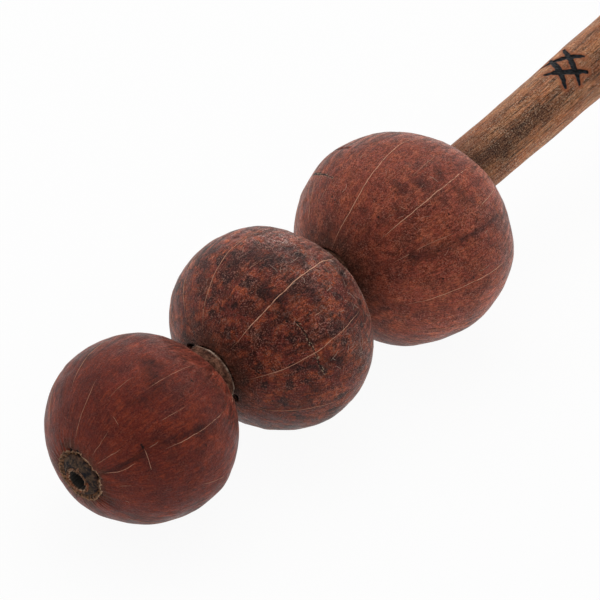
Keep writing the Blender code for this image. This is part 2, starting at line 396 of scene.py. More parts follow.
def make_smear_group():
    """Soft streak between two places on a piece's map: the distance to the line between them, blurred.

    Scale turns the map into metres, the streak ends at Width, in metres, and Wander breaks its edge.
    """
    tree, given, result = new_group(
        "soft_smear",
        {"Vector": ("Map", "Scale", "Start", "End"), "Float": ("Width", "Wander")},
        {"Float": ("Mask",)},
    )
    scaled = partial(vectors, "MULTIPLY", given["Scale"])
    flat, start, end = scaled(given["Map"]), scaled(given["Start"]), scaled(given["End"])
    from_start = vectors("SUBTRACT", flat, start)
    run = vectors("SUBTRACT", end, start)
    whole = plus(vectors("DOT_PRODUCT", run, run), 1e-9)
    share = maths("DIVIDE", vectors("DOT_PRODUCT", from_start, run), whole, clamp=True)
    nearest = add_node("ShaderNodeVectorMath", {0: run, "Scale": share}, operation="SCALE").outputs[0]
    gap = vectors("DISTANCE", from_start, nearest)
    shake = times(minus(noise(flat, 420, 4, .65), .5), given["Wander"])
    reach = plus(maths("DIVIDE", gap, given["Width"]), shake)
    connect(result["Mask"], ramp(reach, .1, 1, 1, 0))
    return tree


def smear_mask(own_map, scale, line, width, wander):
    """Mask of one streak from its two places, each a turn in degrees and a share."""
    start_turn, start_share, end_turn, end_share = line
    start = (start_turn / 360, start_share, 0)
    end = (end_turn / 360, end_share, 0)
    values = {"Map": own_map, "Scale": scale, "Start": start, "End": end, "Width": width, "Wander": wander}
    return fill_group(smear_group, values)["Mask"]


def make_grain_group():
    """Clumped speckle of a dry surface: dark pores, pale flecks partly painted as glints, over a softer
    unevenness.
    """
    tree, given, result = new_group(
        "dusty_grain_and_glints",
        {"Vector": ("Place",), "Color": ("Colour", "Fleck And Glint"), "Float": ("Scale", "Amount")},
        {"Color": ("Colour",), "Float": ("Grain",)},
    )
    place, scale, amount = given["Place"], given["Scale"], given["Amount"]
    speck = noise(place, scale, 1, .6)
    soft = noise(place, times(scale, .42), 2, .65)
    dark, light = (.68, .6, .52, 1), (1.32, 1.4, 1.48, 1)
    tone = mix_colours(ramp(soft, .3, .7), dark, light)
    tint = mix_colours(amount, given["Colour"], tone, "MULTIPLY")
    clump = noise(place, times(scale, .09), 2, .6)
    strength = times(ramp(clump, .36, .62, .5, 1.2), amount)
    pores = times(ramp(speck, .32, .48, .78, 0), strength)
    tint = mix_colours(pores, tint, (.2, .04, 0, 1), "MULTIPLY")
    flecks_and_glints = times(ramp(speck, .54, .69, 0, .65), strength)
    connect(result["Colour"], mix_colours(flecks_and_glints, tint, given["Fleck And Glint"]))
    connect(result["Grain"], speck)
    return tree


def add_grain(place, tint, fleck, scale, amount):
    """Colour with dusty grain and partly painted pale glints over it, and the grain's own value."""
    values = {"Place": place, "Colour": tint, "Fleck And Glint": fleck, "Scale": scale, "Amount": amount}
    outputs = fill_group(grain_group, values)
    return outputs["Colour"], outputs["Grain"]


# Colours and amounts of the skin group, for the front, the middle and the rear shell
skin_colours = {
    "Main": ((104, 38, 28), (110, 46, 37), (138, 64, 48)),
    "Light": ((134, 54, 33), (164, 79, 47), (164, 84, 58)),
    "Blotch": ((72, 33, 30), (46, 22, 20), (85, 39, 32)),
    # The film colour is partly painted shade where the shells meet
    "Film And Shade": ((88, 56, 44), (84, 57, 45), (74, 52, 42)),
    # The frayed colour is also the pale sheen painted towards each shell's outline
    "Frayed And Sheen": ((158, 112, 96), (186, 154, 142), (184, 144, 128)),
}
skin_amounts = {
    "Blotch Scale": (120, 170, 170),
    "Blotch Amount": (.45, .68, .44),
    "Small Amount": (.6, .85, .4),
    "Spot Scale": (150, 185, 170),
    "Spot Amount": (.3, .85, .35),
    "Front Film And Shade": (.06, .13, .14),
    "Rear Film And Shade": (.05, .06, .05),
    "Fray Amount": (.25, .8, .3),
    "Strand Amount": (.6, .4, .4),
    "Grain Amount": (.45, .85, .8),
}


def make_skin_group():
    """Dried fruit skin: light patches, dark blotches, spots and dots, a torn web, and a film at both ends
    that is partly painted shade where the shells meet.

    Spots and dots sit in Voronoi cells, each of its own size. The web is where a noise passes its middle.
    """
    tree, given, result = new_group(
        "dried_fruit_skin",
        {"Vector": ("Place", "Map"), "Color": skin_colours, "Float": skin_amounts},
        {"Color": ("Colour",), "Float": ("Roughness", "Height", "Sheen Web")},
    )
    place = given["Place"]
    along = split(given["Map"])["Y"]
    cloud = noise(place, 38, 2, .5, .3)
    patch = noise(place, 190, 4, .62, .5)
    strand = fibres(given["Map"], 38, 20, 4, .9)
    fine_fibre = fibres(given["Map"], 78, 60, 2, 1.5)
    glow = plus(patch, times(minus(strand, patch), given["Strand Amount"]))
    tint = mix_colours(ramp(glow, .44, .62), given["Main"], given["Light"])
    broad = noise(place, given["Blotch Scale"], 3, .6, .6)
    broad = ramp(plus(broad, times(minus(cloud, .5), .6)), .5, .62)
    small = times(ramp(noise(place, 420, 2.5, .62, .4), .53, .64), given["Small Amount"])
    blotches = times(largest(broad, small), given["Blotch Amount"])
    tint = mix_colours(blotches, tint, given["Blotch"])
    shake = noise(place, 330, 2, .5, 0, "Color")
    shaken = vectors("ADD", place, vectors("MULTIPLY", shake, (.006, .006, .006)))
    distance, own_size = cells(shaken, given["Spot Scale"])
    spots = times(ramp(minus(distance, times(own_size, .34)), 0, .2, 1, 0), given["Spot Amount"])
    tint = mix_colours(spots, tint, given["Blotch"])
    torn = times(minus(patch, .5), .2)
    # Darker film at both ends of a shell, partly painted shade where the shells meet
    front_film_and_shade = ramp(plus(minus(along, .09), torn), 0, given["Front Film And Shade"], .85, 0)
    rear_film_and_shade = ramp(plus(minus(.91, along), torn), 0, given["Rear Film And Shade"], .85, 0)
    film_and_shade = largest(front_film_and_shade, rear_film_and_shade)
    tint = mix_colours(film_and_shade, tint, given["Film And Shade"])
    winding = maths("ABSOLUTE", minus(noise(place, 260, 3, .6, 1.4), .5))
    crossing = maths("ABSOLUTE", minus(noise(shaken, 420, 2, .6, .6), .52))
    web = largest(ramp(winding, 0, .03, 1, 0), ramp(crossing, 0, .03, .8, 0))
    frayed = times(ramp(cloud, .36, .56), ramp(along, .4, .62))
    frayed = largest(frayed, ramp(patch, .52, .66, 0, .45))
    tint = mix_colours(times(frayed, times(web, given["Fray Amount"])), tint, given["Frayed And Sheen"])
    distance, own_size = cells(place, 180)
    dots = times(ramp(own_size, .5, .9), ramp(distance, .05, .12, .9, 0))
    tint = mix_colours(dots, tint, screen(24, 12, 10))
    streak = times(ramp(fine_fibre, .36, .64, -.5, .5), given["Grain Amount"])
    tint = shade_colour(tint, plus(1, streak))
    fleck = mix_colours(.5, given["Light"], given["Frayed And Sheen"])
    grit = times(ramp(largest(blotches, spots), 0, .9, .95, 1.05), given["Grain Amount"])
    # Dusty grain, whose pale flecks are partly painted glints
    tint, speck = add_grain(place, tint, fleck, 2000, grit)
    height = plus(times(fine_fibre, .4), times(strand, .4))
    connect(result["Colour"], tint)
    connect(result["Roughness"], plus(ramp(patch, .3, .7, .38, .52), times(film_and_shade, .2)))
    connect(result["Height"], plus(height, times(speck, .6)))
    connect(result["Sheen Web"], largest(web, ramp(fine_fibre, .48, .62)))
    return tree


fibre_group = make_fibre_group()
smear_group = make_smear_group()
grain_group = make_grain_group()
skin_group = make_skin_group()

# Dark smears, partly real stains and partly painted shade such as next to the neighbouring shells: turn in
# degrees and share of both ends, width in millimetres, strength
shell_smears_and_shade = {
    "front": [
        (149, .14, 145, .28, 3.6, .75), (98, .5, 115, .455, 5.6, .6), (147, .4, 151, .485, 3, .55),
        (102, .52, 106, .53, 3.6, .45), (112, .35, 117, .42, 3.4, .4), (150, .5, 158, .54, 3.4, .4),
        (205, .13, 217, .17, 4, .5), (141, .3, 145, .36, 4.2, .35), (151, .48, 156, .49, 4, .35),
        (70, .33, 76, .36, 6, .3), (126, .7, 150, .66, 6, .3),
    ],
    "middle": [
        (154, .6, 151, .31, 2, .7), (114, .36, 125, .43, 5, .65), (88, .47, 97, .48, 4.5, .5),
        (87, .3, 92, .3, 3.6, .55), (130, .69, 142, .68, 4, .5), (160, .53, 166, .545, 4, .5),
        (182, .36, 194, .3, 5.5, .45), (162, .34, 167, .44, 5, .4), (86, .45, 101, .46, 5, .75),
        (100, .55, 110, .54, 4.2, .75), (108, .37, 112, .38, 3.6, .75), (119, .388, 130, .361, 3.6, .75),
        (131, .64, 137, .62, 3, .7), (176, .36, 180, .37, 3, .6), (129, .48, 134, .48, 4, .7),
        (165, .43, 169, .46, 3.6, .7), (79, .4, 82, .41, 3.6, .6), (98, .29, 100, .29, 2.6, .6),
        (112, .71, 154, .6, 11, .5), (30, .25, 45, .45, 16, .25), (200, .25, 205, .45, 14, .25),
        (176, .5, 180, .6, 14, .25),
    ],
    "rear": [
        (157, .6, 154, .44, 1.5, .75), (154, .44, 152, .29, 3, .5), (132, .52, 135, .53, 3.6, .5),
        (112, .39, 115, .39, 3.4, .5), (57, .31, 62, .32, 5, .3), (38, .22, 50, .34, 15, .14),
        (70, .5, 110, .62, 16, .12), (114, .24, 117, .24, 3.4, .5), (130, .45, 133, .46, 3, .45),
        (103, .27, 105, .27, 3.4, .4), (120, .52, 123, .51, 3.6, .6), (119, .45, 122, .45, 3.2, .6),
        (106, .4, 109, .4, 2.8, .5), (121, .33, 124, .33, 3.4, .5), (149, .3, 153, .3, 3.2, .5),
        (139, .52, 142, .54, 3.4, .5),
    ],
}
# Painted light: paler patches, such as the lit tops of the front and middle shells and the lower right of
# the rear shell, in the same way
shell_painted_light = {
    "front": [
        (93, .36, 97, .46, 6, .5), (131, .38, 135, .46, 5, .35), (78, .53, 98, .6, 11, .55),
        (168, .52, 176, .56, 9, .35),
    ],
    "middle": [
        (184, .21, 194, .22, 9, .45), (93, .33, 98, .39, 5.5, .55), (146, .45, 152, .47, 4.5, .5),
        (72, .37, 76, .37, 4.5, .4), (66, .23, 133, .24, 8, .25), (62, .5, 92, .58, 11, .6),
    ],
    "rear": [
        (172, .2, 185, .3, 20, .6), (205, .16, 212, .37, 16, .9), (198, .42, 200, .52, 12, .5),
        (184, .57, 197, .54, 12, .35), (127, .2, 146, .2, 6, .35),
    ],
}
# Black pits, painted as the shade inside them, in the same way: pinholes, nicks beside the holes, and
# splits at the rear shell's outline
shell_pits = {
    "front": [
        (139, .289, 141, .289, .9, 1), (161, .481, 162, .482, .7, .8), (62, .1, 70, .1, 2, 1),
        (81, .1, 87, .1, 2, 1), (154, .097, 160, .096, 1.8, 1), (196, .096, 202, .096, 1.6, 1),
        (214, .095, 217, .095, 1.4, .9),
    ],
    "middle": [
        (92, .29, 93, .29, .6, .7), (26, .122, 42, .104, 2.6, 1), (206, .117, 214, .124, 2.2, 1),
    ],
    "rear": [
        (128, .34, 129, .34, .6, .6), (37, .494, 47, .487, 1.6, 1), (47, .487, 60, .48, .9, .9),
        (37, .386, 48, .366, 1.1, 1), (48, .366, 56, .354, .7, .8),
    ],
}
# Cracks: turn in degrees and share of each place along the line
shell_cracks = {
    "front": [],
    "middle": [(138, .392, 136, .383, 145, .388, 151, .386, 160, .39, 164, .386, 171, .398)],
    "rear": [(38, .384, 50, .361, 64, .339)],
}
# These multiply the colour under them: painted light, and a dark that is partly stain and partly painted
# shade
PAINTED_LIGHT_TINT = (1.5, 1.6, 1.65, 1)
DARK_STAIN_AND_SHADE = (.27, .28, .34, 1)
HOLE_SHADE_BLACK = screen(22, 12, 10)
CHIP_TINT = screen(190, 160, 132)
CHIP_WIDTH = .0009
CRACK_WIDTH = .0003
# How far a turn and a share of the map reach on the skin, in metres
SHELL_MAP_SCALE = (.25, .125, 0)
SMEAR_WANDER = 1.3
# How strongly a pale sheen is painted over each shell's web where it is seen at a glancing angle
shell_painted_sheen = {"front": .36, "middle": .3, "rear": .5}
shell_slot = {"front": "shell_brown", "middle": "shell_mottled", "rear": "shell_russet"}


def add_smears(own_map, tint, smears, stain, blend="MULTIPLY"):
    """Lays smears over a shell's colour, by default multiplied like a stain or painted light, so the grain
    shows through.
    """
    for *line, width, strength in smears:
        mask = smear_mask(own_map, SHELL_MAP_SCALE, line, width * MILLIMETRE, SMEAR_WANDER)
        tint = mix_colours(times(mask, strength), tint, stain, blend)
    return tint


def add_cracks(own_map, place, tint, lines):
    """Lays cracks over a shell's colour, painted black as the shade in them, with pale chips along their
    edges.
    """
    crumbs = ramp(noise(place, 1300, 2, .6), .52, .62)
    for line in lines:
        for start, end in stretches(line):
            chips = smear_mask(own_map, SHELL_MAP_SCALE, (*start, *end), CHIP_WIDTH, .8)
            tint = mix_colours(times(chips, crumbs), tint, CHIP_TINT)
            painted_black_shade = smear_mask(own_map, SHELL_MAP_SCALE, (*start, *end), CRACK_WIDTH, 1.2)
            tint = mix_colours(painted_black_shade, tint, HOLE_SHADE_BLACK)
    return tint


def make_shell_material(label):
    """Skin of one shell with painted light, dark smears partly of painted shade, black pits and cracks
    painted as shade, and the pale bare wall at the holes.

    Towards the outline a pale sheen is painted over the web, and light and dark streaks are painted along
    bundles of fibres.
    """
    material, place, own_map = new_material(f"fruit_skin_{label}", .14)
    column = SHELL_LABELS.index(label)
    finish = {title: screen(*row[column]) for title, row in skin_colours.items()}
    finish.update((title, row[column]) for title, row in skin_amounts.items())
    skin = fill_group(skin_group, {"Place": place, "Map": own_map, **finish})
    # Painted light: paler patches
    tint = add_smears(own_map, skin["Colour"], shell_painted_light[label], PAINTED_LIGHT_TINT)
    # Painted sheen: pale web colour towards the outline, then light and dark streaks painted there
    facing = add_node("ShaderNodeLayerWeight", {"Blend": .5}, material.node_tree).outputs["Facing"]
    painted_sheen = largest(ramp(facing, .45, .97, 0, shell_painted_sheen[label]), ramp(facing, .82, .98, 0, .8))
    tint = mix_colours(times(painted_sheen, skin["Sheen Web"]), tint, finish["Frayed And Sheen"])
    painted_outline_streaks = ramp(fibres(own_map, 16, 9, 5, 1.2), .38, .62, -.55, .55)
    tint = shade_colour(tint, plus(1, times(painted_outline_streaks, ramp(facing, .3, .85))))
    # Dark smears: stains, and painted shade next to the neighbouring shells
    tint = add_smears(own_map, tint, shell_smears_and_shade[label], DARK_STAIN_AND_SHADE)
    # Pits and cracks painted black as the shade inside them
    tint = add_smears(own_map, tint, shell_pits[label], HOLE_SHADE_BLACK, "MIX")
    tint = add_cracks(own_map, place, tint, shell_cracks[label])
    crumbs = noise(place, 900, 3, .6)
    wall = mix_colours(ramp(crumbs, .36, .66), screen(58, 40, 30), screen(142, 98, 66))
    edge_line = times(mark(material, "pale_edge"), ramp(crumbs, .25, .55, .4, 1))
    wall = mix_colours(edge_line, wall, screen(206, 166, 134))
    tint = mix_colours(mark(material, "bare_wall"), tint, wall)
    return finish_material(material, tint, skin["Roughness"], skin["Height"], .0005, .7)


# Shells
SHELL_COLUMNS = 320
SHELL_ROWS = 190
INNER_ROWS = 48
LUMP_SEED = {"front": 11, "middle": 23, "rear": 37}
# Height and size of the lumps of every skin, in millimetres
SHELL_LUMPS = ((.14, 34), (.08, 11), (.03, 4))
CRACK_DEPTH = .00014
CRACK_SPREAD = .0004
# Height of the front shell's pleats round its tip hole, and the share where they are highest and its spread
PLEAT_HEIGHT = .00012
PLEAT_SHARE = .1
PLEAT_SPREAD = .045
# Height over which a skin that comes down to the floor is pressed flat
FLOOR_BLEND = .0002

# Dents: half width and depth in millimetres, then turn in degrees and share of each place along the line
shell_dents = {
    "front": [
        (.7, 1, 62, .1, 70, .1), (.7, 1, 81, .1, 87, .1), (.7, .9, 154, .097, 160, .096),
        (.6, .8, 196, .096, 202, .096),
    ],
    "middle": [(1, 2.2, 28, .119, 40, .106), (.9, 2, 207, .118, 213, .123)],
    "rear": [(.6, .6, 37, .494, 47, .487, 60, .48)],
}
# Broad raised and pressed places: turn in degrees, share, height in millimetres, spread on a unit ball
shell_swells = {
    "front": [
        (283, .195, .55, .2), (306, .176, .4, .18), (264, .205, .3, .16), (222, .4, -.7, .2),
        (200, .53, .9, .2), (109, .72, -2.4, .31), (160, .69, -.7, .2),
    ],
    "middle": [(37, .467, -.35, .2), (214, .436, .3, .2), (66, .62, .8, .27)],
    "rear": [
        (241, .33, .6, .2), (188, .64, .45, .2), (42, .44, .6, .2), (57, .52, -.3, .14),
        (225, .42, -.3, .2),
    ],
}


def front_rim_radius(turn):
    """Jagged edge of the front shell's tip hole: scallops and small chips round the drilled circle."""
    scallops = .00026 * ripple(turn, 6, 30, 4)
    chips = .0008 * np.clip(ripple(turn, 14, 44, 9) - .9, 0, 1)
    return TIP_HOLE_RADIUS + .0004 + scallops + chips


def shell_radii(label, inward=0):
    """A shell's three half sizes: along the stick, to its side and up."""
    return np.array([SHELL_HALF_LENGTH[label], SHELL_SIDE_RADIUS[label], SHELL_UP_RADIUS[label]]) - inward


def hole_angles(label, turn, inward=0):
    """Polar angles of the edges of a shell's two holes, at each turn."""
    half, side, up = shell_radii(label, inward)
    off_side, off_up = shell_offset[label]
    angles = []
    for way in (-1, 1):
        place = PLACE[label] + way * SHELL_HALF_LENGTH[label]
        hole = between_ends(place, TIP_HOLE_RADIUS, EXIT_HOLE_RADIUS)
        if label == "front" and way < 0:
            hole = front_rim_radius(turn)
        out = ((hole * np.cos(turn) - off_side) / side) ** 2 + ((hole * np.sin(turn) - off_up) / up) ** 2
        angles.append(np.arctan2(hole, half * np.sqrt(1 - out)))
    return angles[0], math.pi - angles[1]


def way_from_stick(turn, share):
    """Unit direction from the stick at a turn and at the polar angle that share gives."""
    polar = math.pi * np.asarray(share)
    return turned(-np.cos(polar), np.sin(polar), turn)


def on_egg(label, turn, share, inward=0):
    """Place and outward direction on a shell, in the stick's directions from the shell's place on it.

    The shell is an ellipsoid whose centre is a little off the stick. A ray goes out from the stick, and its
    length is the root of the quadratic where it meets the ellipsoid.
    """
    radii = shell_radii(label, inward)
    centre = np.array([0, *shell_offset[label]])
    way = way_from_stick(turn, share)
    square = ((way / radii) ** 2).sum(axis=-1)
    linear = -2 * (way * centre / radii**2).sum(axis=-1)
    constant = ((centre / radii) ** 2).sum() - 1
    length = (-linear + np.sqrt(linear**2 - 4 * square * constant)) / (2 * square)
    local = way * length[..., None]
    slope = (local - centre) / radii**2
    return local, slope / np.linalg.norm(slope, axis=-1, keepdims=True)


def line_gap(label, turn, share, line):
    """Distance over a shell's skin to a line of places, straight between them on the unrolled skin."""
    down = math.pi * SHELL_UP_RADIUS[label]
    across = SHELL_UP_RADIUS[label] * np.sin(math.pi * share)
    gap = np.full(np.broadcast(turn, share).shape, 1)
    for (start_turn, start_share), (end_turn, end_share) in stretches(line):
        to_x = (np.mod(turn - math.radians(start_turn) + math.pi, FULL_TURN) - math.pi) * across
        to_y = (share - start_share) * down
        run_x = math.radians(end_turn - start_turn) * across
        run_y = (end_share - start_share) * down
        part = share_of_run(to_x, to_y, run_x, run_y)
        gap = np.minimum(gap, np.hypot(to_x - part * run_x, to_y - part * run_y))
    return gap


def shell_point(label, turn, share, lift=0):
    """World point on a shell's uneven outside, raised by lift.

    It is the ellipsoid plus broad swells, small lumps, dents, a dip along each crack and, on the front
    shell, pleats out from the tip hole. It is pressed flat at the floor.
    """
    given = (np.asarray(value, dtype=float) for value in (turn, share, lift))
    turn, share, lift = np.broadcast_arrays(*given)
    local, outward = on_egg(label, turn, share)
    uneven = np.zeros(turn.shape)
    for number, (height, size) in enumerate(SHELL_LUMPS):
        uneven += height * MILLIMETRE * lumps(local, size * MILLIMETRE, LUMP_SEED[label] + number)
    for line in shell_cracks[label]:
        uneven -= CRACK_DEPTH * bell(line_gap(label, turn, share, line), CRACK_SPREAD)
    if label == "front":
        uneven += PLEAT_HEIGHT * ripple(turn, 20, 56, 5) * bell(share - PLEAT_SHARE, PLEAT_SPREAD)
    for half_width, depth, *line in shell_dents[label]:
        gap = line_gap(label, turn, share, line)
        uneven -= depth * MILLIMETRE * bell(gap, half_width * MILLIMETRE, 4)
    way = way_from_stick(turn, share)
    for swell_turn, swell_share, height, spread in shell_swells[label]:
        off = np.linalg.norm(way - way_from_stick(math.radians(swell_turn), swell_share), axis=-1)
        uneven += height * MILLIMETRE * bell(off, spread)
    local = local + outward * (uneven + lift)[..., None]
    world = to_world(local + np.array([PLACE[label], 0, 0]))
    height = world[..., 2].copy()
    world[..., 2] = (height + np.sqrt(height**2 + FLOOR_BLEND**2)) / 2
    return world


# Turn of the front rim's worn pale part, and the radius that the bare wall narrows to inside the tip hole
WORN_RIM_TURN = math.radians(135)
WALL_RADIUS = .0076
# Rows of that wall: share of the way in from the edge, how deep it sinks in millimetres, and a seed
TIP_WALL_ROWS = ((1, 1.8, 1), (1, .9, 2), (.85, .5, 3), (.6, .4, 4), (.3, .2, 5), (.1, 0, 6))


def tip_wall_rows(turn, outer_edge):
    """Ragged bare wall inside the front shell's tip hole, from deep in the hole out to the jagged edge.

    Each row sits at a share of the way from the edge to a narrower circle and sinks into the hole.
    """
    radius = np.hypot(outer_edge[:, 1], outer_edge[:, 2])
    narrow = WALL_RADIUS + .00028 * ripple(turn, 7, 30, 14)
    rows = []
    for share, sink, seed in TIP_WALL_ROWS:
        rough = .00018 * share * ripple(turn, 8, 30, 20 + seed)
        along = outer_edge[:, 0] + sink * MILLIMETRE + rough
        rows.append(turned(along, radius + (narrow - radius) * share + rough, turn))
    return np.stack(rows)


def make_shell(label):
    """Closed hollow shell: outside from front to rear, rear wall, inside back to the front, front wall."""
    turn = whole_turn(SHELL_COLUMNS)
    first, last = hole_angles(label, turn)
    outer_share = np.linspace(first, last, SHELL_ROWS) / math.pi
    outside = shell_point(label, turn, outer_share)
    first, last = hole_angles(label, turn, SHELL_WALL)
    inside, _ = on_egg(label, turn, np.linspace(last, first, INNER_ROWS) / math.pi, SHELL_WALL)
    inside = to_world(inside + np.array([PLACE[label], 0, 0]))
    steps = np.array([1, 2])[:, None, None] / 3
    rear_wall = outside[-1] + (inside[0] - outside[-1]) * steps
    front_wall = inside[-1] + (outside[0] - inside[-1]) * steps
    if label == "front":
        front_wall = to_world(tip_wall_rows(turn, to_stick(outside[0])))
    points = np.concatenate([outside, rear_wall, inside, front_wall])
    spare = len(points) - SHELL_ROWS
    shares = np.concatenate([outer_share, np.linspace(outer_share[-1], outer_share[0], spare)])
    bare = np.repeat([0, 1], (SHELL_ROWS, spare))[:, None]
    pale_edge = np.zeros((len(points), SHELL_COLUMNS))
    worn_rim = smooth_step(-.1, .6, np.cos(turn - WORN_RIM_TURN))
    pale_edge[-1] = .4 + .6 * worn_rim
    pale_edge[-2] = .4 * worn_rim
    grid = sheet_grid(points, shares, loop=True, bare_wall=bare, pale_edge=pale_edge)
    material = make_shell_material(label)
    make_piece(f"{label}_shell_skin", [grid], material, "rattle", shell_slot[label], f"shell_{label}")


for label in SHELL_LABELS:
    make_shell(label)

# Raised threads: width and height in millimetres, paleness, then turn in degrees and share of each place
shell_threads = {
    "front": [
        (.18, .1, .65, 150, .352, 151.7, .464, 153.4, .625),
        (.16, .08, .45, 112, .42, 114.1, .5, 116.8, .66), (.18, .08, .55, 79.6, .142, 80.5, .25, 79, .36),
        (.15, .06, .3, 77.5, .475, 81.6, .55), (.2, .08, .5, 149, .123, 151.6, .191, 149.4, .247),
        (.17, .07, .3, 131, .112, 132.4, .23), (.17, .07, .3, 116, .126, 112.7, .23),
        (.2, .08, .6, 142.8, .291, 161, .281), (.19, .07, .3, 107, .281, 116.5, .271),
        (.19, .07, .25, 133, .385, 135, .486), (.19, .07, .25, 96, .32, 100, .43),
        (.2, .08, .4, 171, .165, 171, .205), (.22, .08, .4, 185, .437, 192, .541),
        (.29, .1, .5, 222, .16, 226, .42, 221, .7), (.29, .1, .6, 262, .22, 258, .55, 263, .8),
        (.3, .1, .6, 305, .14, 309, .46, 304, .72), (.29, .1, .55, 348, .2, 343, .5, 347, .82),
        (.29, .1, .5, 28, .18, 32, .4, 29, .68), (.26, .09, .5, 60, .3, 57, .55, 61, .8),
    ],
    "middle": [
        (.26, .11, .65, 71, .16, 71.2, .37, 73.5, .577),
        (.3, .13, 1, 121, .172, 118.5, .39, 118, .561, 119.8, .717),
        (.25, .12, .65, 166, .139, 158, .344, 153.5, .617),
        (.25, .11, .6, 208, .185, 198, .289, 194.4, .442), (.22, .09, .5, 92.4, .405, 95.5, .461),
        (.22, .09, .6, 139.3, .44, 139.7, .474), (.34, .12, .7, 248, .16, 244, .46, 249, .78),
        (.34, .12, .7, 288, .2, 292, .5, 287, .8), (.34, .12, .7, 331, .17, 327, .44, 332, .74),
        (.34, .12, .65, 12, .19, 16, .5, 12, .8), (.31, .11, .6, 44, .2, 40, .48, 45, .7),
    ],
    "rear": [
        (.26, .13, 1, 88, .104, 94, .3, 91, .49, 91, .62), (.24, .12, .95, 129, .243, 128, .43, 128, .638),
        (.22, .1, 1, 184.3, .236, 176.5, .402, 179.4, .57), (.2, .09, .75, 146.8, .548, 147.4, .695),
        (.25, .1, .6, 40, .194, 43, .255, 43.7, .349), (.24, .1, .45, 204.6, .447, 204.4, .351, 211, .252),
        (.2, .08, .4, 149, .243, 148, .379, 149.7, .434),
        (.2, .08, .4, 112.7, .448, 112, .512, 111.2, .575), (.2, .08, .4, 125, .359, 120.7, .351),
        (.34, .11, .7, 252, .2, 247, .5, 253, .82), (.34, .11, .7, 292, .18, 296, .46, 291, .8),
        (.34, .11, .7, 334, .22, 330, .52, 336, .84), (.34, .11, .7, 14, .2, 18, .48, 13, .82),
        (.31, .11, .65, 58, .56, 54, .84), (.31, .11, .65, 96, .66, 99, .86),
    ],
}
# Loose fibres of each shell: how many, lowest and highest share, spread of slant in radians, and greyness
shell_fibres = {
    "front": (16, .14, .8, .3, .4),
    "middle": (380, .42, .84, .9, 1),
    "rear": (70, .15, .84, .5, .6),
}
THREAD_RING = 8
# Steps along a thread for each unit of its length, and the share of its length over which each end thins
THREAD_STEPS = 260
THREAD_TAPER = .2


def thread_grid(label, width, height, paleness, stops, seed, greyness=0):
    """Closed flat thread that lies on a shell's skin.

    An ellipse, wider than high, is carried along the line of places. Its long way stays across the line, it
    wanders a little, thins towards both ends and sinks into the skin here and there.
    """
    stops = np.reshape(stops, (-1, 2))
    lengths = np.hypot(np.diff(stops[:, 0]) / 360, np.diff(stops[:, 1]))
    knots = np.concatenate([[0], np.cumsum(lengths)]) / lengths.sum()
    run = np.linspace(0, 1, max(7, int(lengths.sum() * THREAD_STEPS)))
    curve = np.polyfit(knots, stops, len(stops) - 1)
    stations = run[:, None] ** np.arange(len(stops) - 1, -1, -1)[None, :] @ curve
    turn = np.radians(stations[:, 0])
    share = stations[:, 1]
    local, _ = on_egg(label, turn, share)
    out = np.hypot(local[:, 1], local[:, 2])
    reach = np.linalg.norm(local, axis=1)
    turn = turn + (.00012 * lumps(local, .008, seed) + .00005 * lumps(local, .0025, seed + 1)) / out
    step_over = np.gradient(turn) * out
    step_down = np.gradient(share) * math.pi * reach
    step = np.hypot(step_over, step_down)
    ring = whole_turn(THREAD_RING)
    from_end = np.minimum(smooth_step(0, THREAD_TAPER, run), smooth_step(0, THREAD_TAPER, 1 - run))
    thin = .15 + .85 * from_end
    worn = lumps(local, .006, seed + 2)
    half_width = width * MILLIMETRE / 2 * thin * (1 + .18 * worn)
    sideways = half_width[:, None] * np.cos(ring)
    rise = height * MILLIMETRE * (thin[:, None] * np.sin(ring) - np.clip(worn - .7, 0, 1.5)[:, None])
    ring_turn = turn[:, None] - (step_down / step / out)[:, None] * sideways
    ring_share = share[:, None] + (step_over / step / (math.pi * reach))[:, None] * sideways
    points = shell_point(label, ring_turn, ring_share, rise)
    return sheet_grid(points, capped=True, paleness=paleness, greyness=greyness)


def loose_fibres(label, count, low_share, high_share, slant_spread, greyness, seed):
    """Short bent fibres that stand out of the skin at random, each slanted from its meridian."""
    random = np.random.default_rng(seed)
    grids = []
    for number in range(count):
        turn = random.uniform(0, 360)
        share = random.uniform(low_share, high_share)
        length = random.uniform(.012, .05)
        slant = random.normal(0, slant_spread)
        bend = slant + random.normal(0, .5)
        stops = [(turn, share)]
        for angle in (slant, bend):
            turn += 90 * length * math.sin(angle)
            share += .5 * length * math.cos(angle)
            stops.append((turn, share))
        width, height = random.uniform(.09, .17), random.uniform(.04, .09)
        paleness = random.uniform(.2, .9)
        grids.append(thread_grid(label, width, height, paleness, stops, seed + number, greyness))
    return grids


def make_thread_material():
    """Pale woody thread, browner where it is worn down to the skin, and greyer on loose fibres."""
    material, place, _ = new_material("pale_thread", .15)
    worn = noise(place, 420, 3, .6)
    paleness = mark(material, "paleness")
    vein = mix_colours(paleness, screen(138, 82, 64), screen(228, 172, 142))
    fibre = mix_colours(paleness, screen(118, 84, 72), screen(204, 176, 158))
    tint = mix_colours(mark(material, "greyness"), vein, fibre)
    tint = mix_colours(ramp(worn, .5, .68, 0, .7), tint, screen(120, 66, 48))
    return finish_material(material, tint, ramp(worn, .3, .7, .45, .6), worn, .0002, .5)


thread_material = make_thread_material()
for index, label in enumerate(SHELL_LABELS):
    grids = [
        thread_grid(label, width, height, paleness, stops, 100 * (index + 1) + 3 * number)
        for number, (width, height, paleness, *stops) in enumerate(shell_threads[label])
    ]
    grids += loose_fibres(label, *shell_fibres[label], seed=2000 + 500 * index)
    make_piece(f"{label}_shell_threads", grids, thread_material, "rattle", shell_slot[label])

# Stick
STICK_COLUMNS = 192
